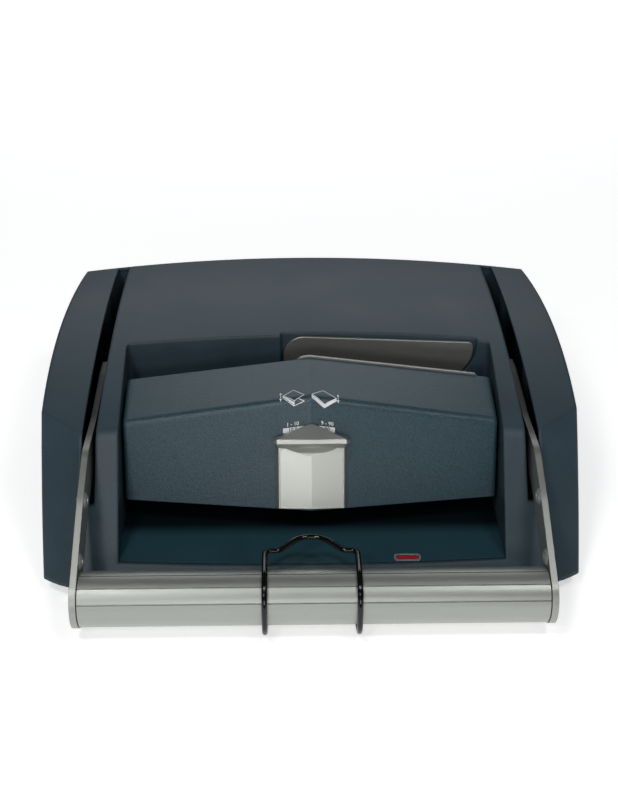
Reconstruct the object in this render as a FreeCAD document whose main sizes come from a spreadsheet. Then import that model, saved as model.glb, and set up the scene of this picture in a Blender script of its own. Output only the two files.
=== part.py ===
"""Manual channel-binding press: a lever press with a document-thickness gauge.

Frame: +Z up, X across the machine, -Y is the operator's side.  Origin on the
table under the middle of the machine.  All lengths in millimetres.
"""
import FreeCAD, Part
import math
import os
import Sketcher
from FreeCAD import Vector as V, Placement, Rotation

doc = FreeCAD.newDocument("binding_press")
sheet = doc.addObject("Spreadsheet::Sheet", "Dims")
_row = [0]
_val = {}


def cell(alias, value):
    """One driving dimension in the sheet; returns its alias."""
    if alias in _val:
        return alias
    _row[0] += 1
    r = _row[0]
    sheet.set("A%d" % r, alias)
    sheet.set("B%d" % r, repr(round(float(value), 4)))
    sheet.setAlias("B%d" % r, alias)
    _val[alias] = round(float(value), 4)
    return alias


def D(alias):
    return _val[alias]


# ---------------------------------------------------------------- dimensions
for a, v in [
    # casing: side profile at mid-width, crowned across the width
    ("crown_axis_z", -1600.0), ("shell_wall", 3.0), ("casing_bottom", 12.0),
    ("front_line_y", -89.0), ("front_line_z", 89.0), ("front_slope_deg", 51.5),
    ("bend_y", -66.0), ("bend_radius", 20.0), ("top_radius", 746.0),
    ("rear_y", 204.0), ("rear_z", 151.5), ("rear_draft", 0.0),
    ("half_width_rear", 216.7), ("half_width_mid", 225.3), ("half_width_front", 215.4),
    ("bay_corner_r", 5.0), ("bail_bend_r", 17.0), ("bail_tip_y", -170.0), ("bail_shoulder_r", 5.0), ("bail_shoulder_y", -151.6),
    ("bail_arch_r", 19.5), ("bail_arch_foot_r", 6.0), ("bail_arch_deg", 48.0), ("bail_arch_rise", 18.0), ("bail_mid_x", -1.8),
    ("corner_start_deg", 4.6), ("corner_turn_deg", 36.0), ("corner_x_low", 172.24), ("corner_y_low", -81.81), ("corner_r_low", 71.67), ("corner_z_low", 0.0),
    ("corner_x_high", 177.18), ("corner_y_high", -39.5), ("corner_r_high", 10.28), ("corner_z_high", 130.0), ("edge_radius", 2.2),
    # bay that holds hood and gauge
    ("bay_half_rear", 159.5), ("bay_half_front", 152.3), ("bay_rear_y", 42.0),
    ("bay_front_y", -185.0), ("tray_top", 28.0), ("bay_wall", 2.5), ("bay_rear_wall", 8.0),
    ("jaw_zone_top", 92.0), ("jaw_zone_front", -24.0),
    # lever
    ("slot_in", 174.0), ("slot_out", 185.4), ("slot_front", -101.0), ("slot_rear", 200.4),
    ("arm_in", 177.0), ("arm_thick", 5.0), ("pivot_y", 150.0), ("pivot_z", 60.0),
    ("handle_y", -178.0), ("handle_z", 30.0), ("handle_r", 21.0), ("handle_bore_r", 17.0),
    ("arm_end_r", 21.8), ("hub_r", 23.0), ("shaft_r", 8.0),
    # rack and pinion
    ("gear_module", 1.5), ("gear_teeth", 20.0), ("pinion_width", 12.0), ("pinion_in", 140.0),
    ("rack_width", 10.0), ("rack_in", 141.0),
    # bail
    ("wire_d", 4.4), ("window_x", 75.8), ("window_y", -127.9), ("bail_half", 35.6),
]:
    cell(a, v)

EX = {}


def settle(*objs):
    """Work out only the named objects (and the sheet), not the whole document."""
    sheet.recompute()
    for o in objs:
        o.recompute()


def done(obj, label):
    obj.Label = label
    EX[label] = obj
    return obj


def bind(obj, prop, alias):
    obj.setExpression(prop, "Dims." + alias)


# ---------------------------------------------------------------- builders
def box(label, lo, hi, final=True):
    o = doc.addObject("Part::Box", "bx_" + label)
    for i, p in enumerate(("Length", "Width", "Height")):
        bind(o, p, cell("%s_%s" % (label, "lwh"[i] + "en"), hi[i] - lo[i]))
    o.Placement = Placement(V(*lo), Rotation())
    o.Label = label if final else "bx_" + label
    if final:
        EX[label] = o
    return o


AX = {"X": Rotation(V(0, 1, 0), 90), "Y": Rotation(V(1, 0, 0), -90), "Z": Rotation()}


def cyl(label, r, length, base, axis="Z", final=True):
    o = doc.addObject("Part::Cylinder", "cy_" + label)
    bind(o, "Radius", cell(label + "_rad", r))
    bind(o, "Height", cell(label + "_len", length))
    o.Placement = Placement(V(*base), AX[axis])
    o.Label = label if final else "cy_" + label
    if final:
        EX[label] = o
    return o


def fuse(label, objs, final=True):
    o = doc.addObject("Part::MultiFuse", "fu_" + label)
    o.Shapes = objs
    o.Label = label if final else "fu_" + label
    if final:
        EX[label] = o
    return o


def cut(label, a, b, final=True):
    if isinstance(b, (list, tuple)):
        b = b[0] if len(b) == 1 else fuse(label + "_tools", b, False)
    o = doc.addObject("Part::Cut", "cu_" + label)
    o.Base, o.Tool = a, b
    o.Label = label if final else "cu_" + label
    if final:
        EX[label] = o
    return o


def common(label, a, b, final=True):
    o = doc.addObject("Part::Common", "co_" + label)
    o.Base, o.Tool = a, b
    o.Label = label if final else "co_" + label
    if final:
        EX[label] = o
    return o


def group(label, objs):
    """Several identical separate pieces in one node."""
    o = doc.addObject("Part::Compound", "gr_" + label)
    o.Links = objs
    return done(o, label)


def fill_poly(s, tag, pts, start=0):
    n = len(pts)
    for i in range(n):
        a, b = pts[i], pts[(i + 1) % n]
        s.addGeometry(Part.LineSegment(V(a[0], a[1], 0), V(b[0], b[1], 0)), False)
    for i in range(n):
        s.addConstraint(Sketcher.Constraint("Coincident", start + i, 2, start + (i + 1) % n, 1))
    for i, (a, b) in enumerate(pts):
        for kind, v, t in (("DistanceX", a, "u"), ("DistanceY", b, "v")):
            c = s.addConstraint(Sketcher.Constraint(kind, -1, 1, start + i, 1, float(v)))
            nm = "%s%d%s" % (tag[-1], start + i, t)
            s.renameConstraint(c, nm)
            s.setExpression("Constraints." + nm, "Dims." + cell("%s_%d%s" % (tag, i, t), v))
    return start + n


def fill_circle(s, tag, k, gid, a, b, r):
    g = s.addGeometry(Part.Circle(V(a, b, 0), V(0, 0, 1), r), False)
    for kind, v, t in (("DistanceX", a, "u"), ("DistanceY", b, "v")):
        c = s.addConstraint(Sketcher.Constraint(kind, -1, 1, g, 3, float(v)))
        s.renameConstraint(c, "k%d%s" % (k, t))
        s.setExpression("Constraints.k%d%s" % (k, t), "Dims." + cell("%s_k%d%s" % (tag, k, t), v))
    c = s.addConstraint(Sketcher.Constraint("Radius", g, float(r)))
    s.renameConstraint(c, "k%dr" % k)
    s.setExpression("Constraints.k%dr" % k, "Dims." + cell("%s_k%dr" % (tag, k), r))


ROLE = {"XY": "XY_Plane", "XZ": "XZ_Plane", "YZ": "YZ_Plane"}


def body_sketch(body, name, plane, off):
    sk = body.newObject("Sketcher::SketchObject", name)
    pl = [f for f in body.Origin.OriginFeatures if f.Role == ROLE[plane]][0]
    sk.AttachmentSupport = [(pl, "")]
    sk.MapMode = "FlatFace"
    sk.AttachmentOffset = Placement(V(0, 0, off), Rotation())
    return sk


def to3(plane, off, a, b, d):
    if plane == "YZ":
        return V(off + d, a, b)
    if plane == "XZ":
        return V(a, -(off + d), b)
    return V(a, b, off + d)


def soften(pts, radii):
    """Outline with rounded corners: straight lines and tangent arcs, for chain()."""
    n, segs = len(pts), []
    for i, p in enumerate(pts):
        r = radii.get(i)
        if not r:
            segs.append((p, None))
            continue
        a, b = pts[i - 1], pts[(i + 1) % n]
        l1, l2 = math.hypot(p[0] - a[0], p[1] - a[1]), math.hypot(b[0] - p[0], b[1] - p[1])
        d1, d2 = ((p[0] - a[0]) / l1, (p[1] - a[1]) / l1), ((b[0] - p[0]) / l2, (b[1] - p[1]) / l2)
        cross = d1[0] * d2[1] - d1[1] * d2[0]
        turn = math.atan2(cross, d1[0] * d2[0] + d1[1] * d2[1])
        t = r * math.tan(abs(turn) / 2)
        u = 1 if cross > 0 else -1
        p_in, p_out = (p[0] - d1[0] * t, p[1] - d1[1] * t), (p[0] + d2[0] * t, p[1] + d2[1] * t)
        c = (p_in[0] - u * d1[1] * r, p_in[1] + u * d1[0] * r)
        segs += [(p_in, (c, r, cross > 0)), (p_out, None)]
    return segs


def prism(label, plane, off, length, pts, holes=(), fillets=None, node=True, rim=None, soft=None):
    """A flat profile in a plane, raised by length along its normal.  fillets: {radius: [vertex, ...]};
    rim: radius rolled round all edges of the far and near faces that border the outer profile."""
    body = doc.addObject("PartDesign::Body", "bd_" + label)
    sk = body_sketch(body, "sk_" + label, plane, off)
    if soft:
        segs = soften(pts, soft)
        chain(sk, label, segs)
        g = len(segs)
    else:
        g = fill_poly(sk, label, pts)
    for k, (a, b, r) in enumerate(holes):
        fill_circle(sk, label, k, g, a, b, r)
    pad = body.newObject("PartDesign::Pad", "pd_" + label)
    pad.Profile = sk
    bind(pad, "Length", cell(label + "_thk", length))
    settle(sk, pad)
    tip = pad
    for j, (r, idx) in enumerate((fillets or {}).items()):
        names = []
        for i, e in enumerate(tip.Shape.Edges):
            if len(e.Vertexes) != 2:
                continue
            for k in idx:
                p, q = to3(plane, off, *pts[k], 0), to3(plane, off, *pts[k], length)
                a, b = e.Vertexes[0].Point, e.Vertexes[1].Point
                if ((a - p).Length < 1e-3 and (b - q).Length < 1e-3) or ((a - q).Length < 1e-3 and (b - p).Length < 1e-3):
                    names.append("Edge%d" % (i + 1))
        f = body.newObject("PartDesign::Fillet", "fl%d_%s" % (j, label))
        f.Base = (tip, names)
        bind(f, "Radius", cell("%s_fil%d" % (label, j), r))
        settle(f)
        tip = f
    if rim:
        n = to3(plane, 0, 0, 0, 1)
        names = []
        for i, face in enumerate(tip.Shape.Faces):
            if face.Surface.TypeId == "Part::GeomPlane" and abs(abs(face.normalAt(0, 0).dot(n)) - 1) < 1e-6:
                outer = face.OuterWire
                for e in outer.Edges:
                    for m, f2 in enumerate(tip.Shape.Edges):
                        if f2.isSame(e):
                            names.append("Edge%d" % (m + 1))
        f = body.newObject("PartDesign::Fillet", "rim_" + label)
        f.Base = (tip, sorted(set(names)))
        bind(f, "Radius", cell(label + "_rim", rim))
        settle(f)
        tip = f
    body.Tip = tip
    settle(body)
    body.Label = label if node else "bd_" + label
    if node:
        EX[label] = body
    return body


def revolved(label, pts, base, node=True):
    """A half profile (radius, height) turned a full circle round +Z, then placed at base."""
    body = doc.addObject("PartDesign::Body", "bd_" + label)
    sk = body_sketch(body, "sk_" + label, "XZ", 0)
    fill_poly(sk, label, pts)
    rv = body.newObject("PartDesign::Revolution", "rv_" + label)
    rv.Profile = sk
    rv.ReferenceAxis = (sk, ["V_Axis"])
    rv.Angle = 360
    settle(sk, rv)
    body.Tip = rv
    settle(body)
    body.Placement = base if isinstance(base, Placement) else Placement(V(*base), Rotation())
    body.Label = label if node else "bd_" + label
    if node:
        EX[label] = body
    return body


def free_sketch(name, plane, off):
    s = doc.addObject("Sketcher::SketchObject", name)
    if plane == "YZ":
        s.Placement = Placement(V(off, 0, 0), Rotation(V(1, 1, 1), 120))
    elif plane == "XZ":
        s.Placement = Placement(V(0, -off, 0), Rotation(V(1, 0, 0), 90))
    else:
        s.Placement = Placement(V(0, 0, off), Rotation())
    return s


def chain(s, tag, segs):
    """Closed outline of straight lines and arcs.  segs: [(start, None)] or [(start, (centre, radius, ccw))]."""
    n = len(segs)
    ends = []
    for i, (p, arc) in enumerate(segs):
        q = segs[(i + 1) % n][0]
        if arc is None:
            s.addGeometry(Part.LineSegment(V(*p, 0), V(*q, 0)), False)
            ends.append((1, 2))
        else:
            c, r, ccw = arc
            a0, a1 = math.atan2(p[1] - c[1], p[0] - c[0]), math.atan2(q[1] - c[1], q[0] - c[0])
            if not ccw:
                a0, a1 = a1, a0
            if a1 < a0:
                a1 += 2 * math.pi
            s.addGeometry(Part.ArcOfCircle(Part.Circle(V(*c, 0), V(0, 0, 1), r), a0, a1), False)
            ends.append((1, 2) if ccw else (2, 1))
    for i in range(n):
        j = (i + 1) % n
        s.addConstraint(Sketcher.Constraint("Coincident", i, ends[i][1], j, ends[j][0]))
    for i, (p, arc) in enumerate(segs):
        for kind, v, t in (("DistanceX", p[0], "u"), ("DistanceY", p[1], "v")):
            c = s.addConstraint(Sketcher.Constraint(kind, -1, 1, i, ends[i][0], float(v)))
            s.renameConstraint(c, "c%d%s" % (i, t))
            s.setExpression("Constraints.c%d%s" % (i, t), "Dims." + cell("%s_%d%s" % (tag, i, t), v))
        if arc is not None:
            c = s.addConstraint(Sketcher.Constraint("Radius", i, float(arc[1])))
            s.renameConstraint(c, "r%d" % i)
            s.setExpression("Constraints.r%d" % i, "Dims." + cell("%s_%dr" % (tag, i), arc[1]))
    return s


def circle3(a, b, c):
    ax, ay, bx, by, cx, cy = *a, *b, *c
    d = 2 * (ax * (by - cy) + bx * (cy - ay) + cx * (ay - by))
    ux = ((ax**2 + ay**2) * (by - cy) + (bx**2 + by**2) * (cy - ay) + (cx**2 + cy**2) * (ay - by)) / d
    uy = ((ax**2 + ay**2) * (cx - bx) + (bx**2 + by**2) * (ax - cx) + (cx**2 + cy**2) * (bx - ax)) / d
    return (ux, uy), math.hypot(ax - ux, ay - uy)


# ---------------------------------------------------------------- casing
def casing_profile(off):
    """Side profile at mid-width, moved inwards by off: front slope, bend, domed top, rear wall."""
    sl = math.radians(D("front_slope_deg"))
    d = (math.cos(sl), math.sin(sl))
    nrm = (d[1], -d[0])                     # into the casing
    p0 = (D("front_line_y") + nrm[0] * off, D("front_line_z") + nrm[1] * off)
    at = lambda z: p0[0] + (z - p0[1]) * d[0] / d[1]
    bz = D("front_line_z") + (D("bend_y") - D("front_line_y")) * d[1] / d[0]
    a, b, R = (D("bend_y"), bz), (D("rear_y"), D("rear_z")), D("top_radius")
    L = math.hypot(b[0] - a[0], b[1] - a[1])
    m = ((a[0] + b[0]) / 2, (a[1] + b[1]) / 2)
    k = math.sqrt(R * R - L * L / 4)
    c = (m[0] + (b[1] - a[1]) / L * k, m[1] - (b[0] - a[0]) / L * k)
    R -= off
    r = D("bend_radius") - off
    # bend: tangent to the front line and to the dome
    q0 = (p0[0] + nrm[0] * r, p0[1] + nrm[1] * r)
    # centre = q0 + t d with |centre - c| = R - r
    fx, fz = q0[0] - c[0], q0[1] - c[1]
    B = fx * d[0] + fz * d[1]
    C = fx * fx + fz * fz - (R - r) ** 2
    t = -B + math.sqrt(B * B - C)
    cf = (q0[0] + t * d[0], q0[1] + t * d[1])
    p1 = (cf[0] - nrm[0] * r, cf[1] - nrm[1] * r)
    u = math.hypot(cf[0] - c[0], cf[1] - c[1])
    p2 = (c[0] + (cf[0] - c[0]) / u * R, c[1] + (cf[1] - c[1]) / u * R)
    # rear wall, a little draft
    ry = D("rear_y") - off
    p3 = (ry, c[1] + math.sqrt(R * R - (ry - c[0]) ** 2))
    return [((at(-12.0), -12.0), None), (p1, (cf, r, False)), (p2, (c, R, False)), (p3, None),
            ((ry + D("rear_draft"), -12.0), None)]


def casing_block(tag, off, z0):
    prof = chain(free_sketch("prof_" + tag, "YZ", 0), "prof_" + tag, casing_profile(off))
    rev = doc.addObject("Part::Revolution", "rev_" + tag)
    rev.Source = prof
    rev.Axis, rev.Base = V(0, 1, 0), V(0, 0, D("crown_axis_z"))
    rev.Angle, rev.Symmetric, rev.Solid = 18.0, True, True
    (cx, cy), R = circle3((D("half_width_rear"), 212), (D("half_width_mid"), 40), (D("half_width_front"), -127))
    R -= off
    yr = 214.0
    xr = cx + math.sqrt(R * R - (yr - cy) ** 2)
    xf = cx + math.sqrt(R * R - (-178.0 - cy) ** 2)
    segs = [((xr, yr), None), ((-xr, yr), ((-cx, cy), R, True)), ((-xf, -178.0), None), ((xf, -178.0), ((cx, cy), R, True))]
    plan = chain(free_sketch("plan_" + tag, "XY", z0), "plan_" + tag, segs)
    ext = doc.addObject("Part::Extrusion", "ext_" + tag)
    ext.Base = plan
    ext.DirMode, ext.Dir, ext.Solid = "Custom", V(0, 0, 1), True
    bind(ext, "LengthFwd", cell("plan_height_" + tag, 175 - z0))
    blk = common("blk_" + tag, rev, ext, False)
    settle(prof, rev, plan, ext, blk)
    # front corners: cones that lean back like the front and tighten upwards, running out into flats at the sides
    t0, t1 = math.radians(D("corner_start_deg")), math.radians(D("corner_turn_deg"))
    slices = []
    for lv in ("low", "high"):
        px, py, r = D("corner_x_" + lv), D("corner_y_" + lv), D("corner_r_" + lv) - off / math.sin(math.radians(D("front_slope_deg")))
        a = (px + r * math.sin(t0), py - r * math.cos(t0))
        c = (px + r * math.sin(t1), py - r * math.cos(t1))
        far = (300.0, c[1] + (300.0 - c[0]) * math.tan(t1))
        tip = (0.0, a[1] - a[0] * math.tan(t0))
        m = lambda q: (-q[0], q[1])
        cseg = [((300.0, 420.0), None), ((-300.0, 420.0), None), (m(far), None), (m(c), ((-px, py), r, True)), (m(a), None), (tip, None),
                (a, ((px, py), r, True)), (c, None), (far, None)]
        slices.append(chain(free_sketch("corner_%s_%s" % (lv, tag), "XY", D("corner_z_" + lv)), "corner_%s_%s" % (lv, tag), cseg))
    env = doc.addObject("Part::Loft", "corners_" + tag)
    env.Sections, env.Solid, env.Ruled = slices, True, True
    front = box("front_" + tag, (-290, -260, 2), (290, 5, 128), False)
    waste = cut("waste_" + tag, front, env, False)
    body = cut("soft_" + tag, blk, waste, False)
    settle(*slices, env, front, waste, body)
    return body, rev


outer, rev_o = casing_block("out", 0.0, D("casing_bottom"))
inner, rev_i = casing_block("inn", D("shell_wall"), D("casing_bottom") - 2)

# small radii on the crisp outer edges


def dihedral(shape, e):
    fs = [f for f in shape.Faces if any(x.isSame(e) for x in f.Edges)]
    if len(fs) != 2:
        return 0.0, None
    m = e.valueAt((e.FirstParameter + e.LastParameter) / 2)
    na, nb = [f.normalAt(*f.Surface.parameter(m)) for f in fs]
    return math.degrees(na.getAngle(nb)), m


def roll(tag, src, alias, pick):
    f = doc.addObject("Part::Fillet", "fl_" + tag)
    f.Base = src
    r = D(alias)
    f.Edges = [(i + 1, r, r) for i, e in enumerate(src.Shape.Edges) if pick(src.Shape, e)]
    settle(f)
    if f.Shape.isNull() or not f.Shape.isValid() or len(f.Shape.Solids) != 1:
        print("left sharp:", tag)
        doc.removeObject(f.Name)
        return src
    return f


def is_crisp(shape, e):
    ang, m = dihedral(shape, e)
    return m is not None and ang > 45 and m.z > 12.5 and e.Length > 3


skin_src = roll("casing", outer, "edge_radius", is_crisp)
shell = cut("shell", skin_src, inner, False)


def trapezoid(tag, grow, z0, z1, rear):
    s = free_sketch("bay_" + tag, "XY", z0)
    hr, hf = D("bay_half_rear") + grow, D("bay_half_front") + grow
    rr = D("bay_corner_r") + grow
    chain(s, "bay_" + tag, soften([(hr, rear), (-hr, rear), (-hf, D("bay_front_y")), (hf, D("bay_front_y"))], {0: rr, 1: rr}))
    e = doc.addObject("Part::Extrusion", "ebay_" + tag)
    e.Base = s
    e.DirMode, e.Dir, e.Solid = "Custom", V(0, 0, 1), True
    bind(e, "LengthFwd", cell("bay_height_" + tag, z1 - z0))
    return e


bay_out = trapezoid("out", D("bay_wall"), D("tray_top") + 0.2, 175, D("bay_rear_y") + D("bay_rear_wall"))
bay_in = trapezoid("inn", 0, D("tray_top"), 180, D("bay_rear_y"))
walls = common("bay_walls", skin_src, bay_out, False)
bosses = []
BOSS = [(199, -62), (201, 62), (197, 176), (92, 188)]
for i, (bx, by) in enumerate(BOSS):
    for sgn in (1, -1):
        bosses.append(cyl("boss%d%s" % (i, "rl"[sgn < 0]), 5.0, 170, (sgn * bx, by, D("casing_bottom")), "Z", False))
boss = common("bosses", skin_src, fuse("boss_set", bosses, False), False)
whole = fuse("casing_raw", [shell, walls, boss], False)
tools = [bay_in,
         box("jaw_zone", (-166, D("jaw_zone_front"), 0), (166, 60, D("jaw_zone_top")), False)]
for sgn in (1, -1):
    x0, x1 = sorted((sgn * D("slot_in"), sgn * D("slot_out")))
    tools.append(box("arm_slot_" + "rl"[sgn < 0], (x0, D("slot_front"), 30), (x1, D("slot_rear"), 180), False))
for i, (bx, by) in enumerate(BOSS):
    for sgn in (1, -1):
        tools.append(cyl("pilot%d%s" % (i, "rl"[sgn < 0]), 1.6, 16, (sgn * bx, by, D("casing_bottom") - 1), "Z", False))
# pocket in the bay's rear wall for the loose plate
PLATE = [(-22, 98), (146, 98), (146, 135.2), (-22, 142.4)]
pocket = prism("plate_pocket", "XZ", -(D("bay_rear_y") + 4.4), 6.0,
               [(-24.6, 97.6), (148.6, 97.6), (148.6, 170), (-24.6, 170)], fillets={33.0: [1]}, node=False)
tools.append(pocket)
cut("top_casing", whole, tools)

# ---------------------------------------------------------------- document tray under the gauge
tray_rev_prof = chain(free_sketch("prof_tray", "YZ", 0), "prof_tray", casing_profile(D("shell_wall") + 0.25))
tr = doc.addObject("Part::Revolution", "rev_tray")
tr.Source = tray_rev_prof
tr.Axis, tr.Base, tr.Angle, tr.Symmetric, tr.Solid = V(0, 1, 0), V(0, 0, D("crown_axis_z")), 18.0, True, True
floor = common("tray_floor", tr, box("tray_slab", (-161, -175, 25), (161, -26.5, 28), False), False)
back = box("tray_back", (-150.5, -29.0, 27), (150.5, -26.5, 47), False)
posts = [cyl("tray_post%d" % i, 5.0, 14, (x, y, 12), "Z", False)
         for i, (x, y) in enumerate([(-120, -105), (120, -105), (-120, -45), (120, -45)])]
WX, WY = D("window_x"), D("window_y")
win = box("window_cut", (WX - 9.1, WY - 3.0, 20), (WX + 9.1, WY + 3.0, 40), False)
cut("document_tray", fuse("tray_raw", [floor, back] + posts, False),
    [win] + [cyl("tray_pilot%d" % i, 1.6, 9, (x, y, 11), "Z", False)
             for i, (x, y) in enumerate([(-120, -105), (120, -105), (-120, -45), (120, -45)])])

# indicator window: bezel ring and red lens
prism("indicator_bezel", "XY", 28.1, 0.9, [(WX - 10.8, WY - 4.7), (WX + 10.8, WY - 4.7), (WX + 10.8, WY + 4.7), (WX - 10.8, WY + 4.7)],
      fillets={3.2: [0, 1, 2, 3]}, node=False)
bz = [o for o in doc.Objects if o.Label == "bd_indicator_bezel"][0]
bzh = prism("bezel_hole", "XY", 26, 6, [(WX - 9.0, WY - 2.9), (WX + 9.0, WY - 2.9), (WX + 9.0, WY + 2.9), (WX - 9.0, WY + 2.9)],
            fillets={2.2: [0, 1, 2, 3]}, node=False)
cut("indicator_bezel", bz, bzh)
prism("indicator_lens", "XY", 25.4, 3.1, [(WX - 8.7, WY - 2.6), (WX + 8.7, WY - 2.6), (WX + 8.7, WY + 2.6), (WX - 8.7, WY + 2.6)],
      fillets={2.0: [0, 1, 2, 3]})

# ---------------------------------------------------------------- hood over the fixed jaw
HW = 156.0
TAPER = math.atan2(D("bay_half_rear") - D("bay_half_front"), D("bay_rear_y") - D("bay_front_y"))     # sides run with the recess


def side_pt(sgn, q, half):
    return V(sgn * (half + q[0] * math.sin(TAPER)), q[0] * math.cos(TAPER), q[1])


HOOD_SIDE = [(-72, 49), (-50, 109.5), (6, 119.8), (6, 92.3), (-22, 92.3), (-60, 49)]
HOOD_MID = [(-91, 49), (-58, 137), (6, 139.6), (6, 92.3), (-22, 92.3), (-60, 49)]
IN_SIDE = [(-69.2, 47), (-48.0, 106.9), (3.4, 116.7), (3.4, 91.0), (-22, 91.0), (-58.5, 47)]
IN_MID = [(-88.2, 47), (-56.2, 134.2), (3.4, 136.9), (3.4, 91.0), (-22, 91.0), (-58.5, 47)]


def ruled(tag, half, side, mid):
    sk = []
    for nm, x, pts in (("l", -half, side), ("m", 0, mid), ("r", half, side)):
        s = free_sketch("sec_%s_%s" % (tag, nm), "YZ", x)
        turn = {"l": 1, "m": 0, "r": -1}[nm] * math.degrees(TAPER)
        s.Placement = Placement(V(x, 0, 0), Rotation(V(0, 0, 1), turn).multiply(Rotation(V(1, 1, 1), 120)))
        fill_poly(s, "%s_%s" % (tag, nm), pts)
        sk.append(s)
    lo = doc.addObject("Part::Loft", "loft_" + tag)
    lo.Sections, lo.Solid, lo.Ruled = sk, True, True
    settle(*sk, lo)
    return lo


def lerp(a, b, t):
    return [(p[0] + (q[0] - p[0]) * t, p[1] + (q[1] - p[1]) * t) for p, q in zip(a, b)]


hood_o = ruled("hood_out", HW, HOOD_SIDE, HOOD_MID)
inner_half = HW - 2.6
hood_i = ruled("hood_in", inner_half, lerp(IN_MID, IN_SIDE, inner_half / HW), IN_MID)


def edges_where(shape, test):
    out = []
    for i, e in enumerate(shape.Edges):
        if len(e.Vertexes) == 2 and test(e.Vertexes[0].Point, e.Vertexes[1].Point):
            out.append(i + 1)
    return out


def near(p, x, y, z, tol=0.05):
    return (p - V(x, y, z)).Length < tol


def on_poly(p, k):
    """Is p the k-th corner of the hood's outline, at a side or in the middle?"""
    return any((p - side_pt(sgn, HOOD_SIDE[k], HW)).Length < 0.2 for sgn in (1, -1)) or near(p, 0, *HOOD_MID[k])


def on_side(p):
    return abs(abs(p.x) - HW - p.y * math.tan(TAPER)) < 0.3


def try_fillet(tag, src, groups):
    """Rounded edges, group by group; a group that will not roll is left sharp."""
    cur = src
    for j, (r, test) in enumerate(groups):
        f = doc.addObject("Part::Fillet", "fl_%s_%d" % (tag, j))
        f.Base = cur
        f.Edges = [(i, r, r) for i in edges_where(cur.Shape, test)]
        settle(f)
        if f.Shape.isNull() or not f.Shape.isValid() or len(f.Shape.Solids) != 1 or "Invalid" in f.State:
            print("left sharp:", tag, j)
            doc.removeObject(f.Name)
        else:
            cur = f
    return cur


hood_r = try_fillet("hood", hood_o, [
    (8.0, lambda a, b: on_poly(a, 1) and on_poly(b, 1)),
    (3.5, lambda a, b: on_side(a) and on_side(b) and a.x * b.x > 0 and max(a.z, b.z) > 92.4 and min(a.y, b.y) < 5.5),
])
# slot in the hood's front for the slider's neck, along the front facet
LEAN = math.atan2(HOOD_MID[1][0] - HOOD_MID[0][0], HOOD_MID[1][1] - HOOD_MID[0][1])
neck = prism("neck_slot", "XZ", -14, 34, [(-5, -34), (5, -34), (5, 30), (-5, 30)], fillets={4.9: [0, 1, 2, 3]}, node=False)
SL0 = (-91 + 34 * 33.0 / 88, 49 + 34.0)        # a point on the middle ridge of the hood's front
neck.Placement = Placement(V(0, SL0[0], SL0[1]), Rotation(V(1, 0, 0), -math.degrees(LEAN)))
hood_s = cut("hood_shell", hood_r, hood_i, False)
hood_tools = [neck]
for i, (hx, hz) in enumerate([(110, 103), (-110, 103), (5, 112)]):
    hood_tools.append(cyl("hood_fix%d" % i, 1.7, 20, (hx, -4, hz), "Y", False))
cut("hood_cover", hood_s, hood_tools)

# metal edge strip on the back of the hood, beside the slot
edge_line = lambda x: 139.6 - abs(x) / HW * 19.8
prism("slot_edge_strip", "XZ", -8.9, 2.5,
      [(-13, 100), (145, 100), (145, edge_line(145) + 1.6), (0, edge_line(0) + 1.6), (-13, edge_line(13) + 1.6)],
      holes=[(5, 112, 1.7), (110, 103, 1.7)], fillets={9.0: [4], 4.0: [2]})
prism("debinding_plate", "XZ", -45.9, 3.0, PLATE, fillets={18.0: [3], 5.0: [2], 31.0: [1], 5.5: [0]}, rim=0.8)

# ---------------------------------------------------------------- thickness-gauge slider
# drawn upright round a local origin on the hood's front ridge, then leant back with the facet
SLID = Placement(V(0, SL0[0], SL0[1]), Rotation(V(1, 0, 0), -math.degrees(LEAN)))
fall = 15.5 / HW                                # how fast the front facets fall away from the ridge
B0 = 0.7                                        # air between slider and ridge
FT = 4.9                                        # slider thickness over the ridge
sl_plan = [(0, -B0), (29, 29 * fall - B0), (26.6, 26.6 * fall - B0 - FT), (0, -B0 - FT), (-26.6, 26.6 * fall - B0 - FT), (-29, 29 * fall - B0)]
plate = prism("slider_plate", "XY", -33.5, 56.5, sl_plan, node=False)
# shallow panel with a thin rim, round at its upper corners
pan_plan = [(0, -B0 - FT + 0.5), (25.6, 25.6 * fall - B0 - FT + 0.5), (25.6, -30), (-25.6, -30), (-25.6, 25.6 * fall - B0 - FT + 0.5)]
panel = common("slider_panel", prism("panel_plan", "XY", -32.7, 60.0, pan_plan, node=False),
               prism("panel_face", "XZ", -10, 50.0, [(-25.6, -32.6), (25.6, -32.6), (25.6, 16.95), (-25.6, 16.95)], fillets={5.0: [2, 3]}, node=False), False)
# finger dish under the ledge
DR, DD, DT = 260.0, 3.4, 25.0                   # radius, greatest depth and tilt of the scoop, deepest under the ledge
dish_z = prism("dish_zone", "XZ", -10, 50.0, [(-24.7, -10), (24.7, -10), (24.7, 16.95), (-24.7, 16.95)], fillets={5.0: [2, 3]}, node=False)
scoop = cyl("dish_bar", DR, 160, (0, 0, 0), "Z", False)
tilt = Rotation(V(1, 0, 0), -DT)
axis_y = -B0 - FT + 0.5 + DD - DR / math.cos(math.radians(DT))
scoop.Placement = Placement(V(0, axis_y, 16.95) + tilt.multVec(V(0, 0, 50)), tilt)
dish = common("slider_dish", scoop, dish_z, False)
# ledge: a nose with an upper and a lower slope, run out at both ends


def nose(tag, rows):
    sk = []
    for i, (x, pts) in enumerate(rows):
        t = free_sketch("sec_%s_%s" % (tag, "abcde"[i]), "YZ", x)
        fill_poly(t, "%s_%s" % (tag, "abcde"[i]), pts)
        sk.append(t)
    lo = doc.addObject("Part::Loft", "loft_" + tag)
    lo.Sections, lo.Solid, lo.Ruled = sk, True, True
    settle(*sk, lo)
    return lo


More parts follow.
